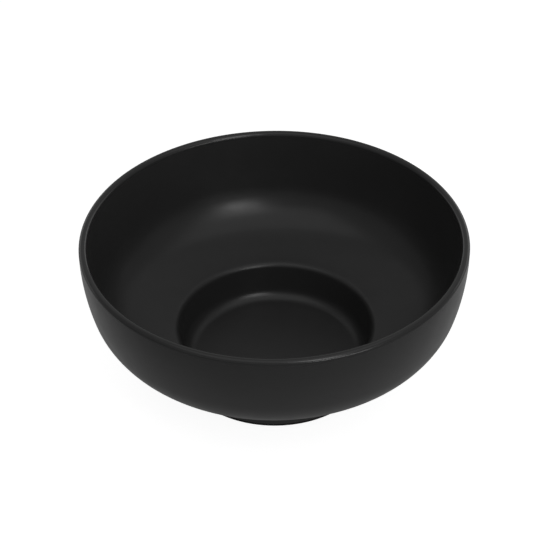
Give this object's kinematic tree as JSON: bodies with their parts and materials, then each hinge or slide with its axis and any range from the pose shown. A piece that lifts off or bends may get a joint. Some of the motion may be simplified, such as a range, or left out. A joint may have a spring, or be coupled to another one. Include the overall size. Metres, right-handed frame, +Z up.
{
  "type": "hair color bowl",
  "caption": "Round handle-less salon mixing bowl in matte black plastic, with a rounded lip, a gently curved shelf falling to a sunken flat well, and a ring foot on a soft non-slip ring.",
  "frame": {"origin": "on the table under the middle of the bowl, where its axis meets the plane of the non-slip ring's contact face", "axes": "+Z up along the bowl's axis of symmetry; X and Y are free, because the bowl is round"},
  "size_m": [0.13, 0.13, 0.055],
  "materials": {
    "moulded_plastic": "fine satin-matt moulded texture, neutral black",
    "soft_rubber": "dull soft rubber, a shade darker than the bowl"
  },
  "bodies": {
    "root": {"bowl": "moulded_plastic", "non_slip_ring": "soft_rubber"}
  },
  "joints": []
}
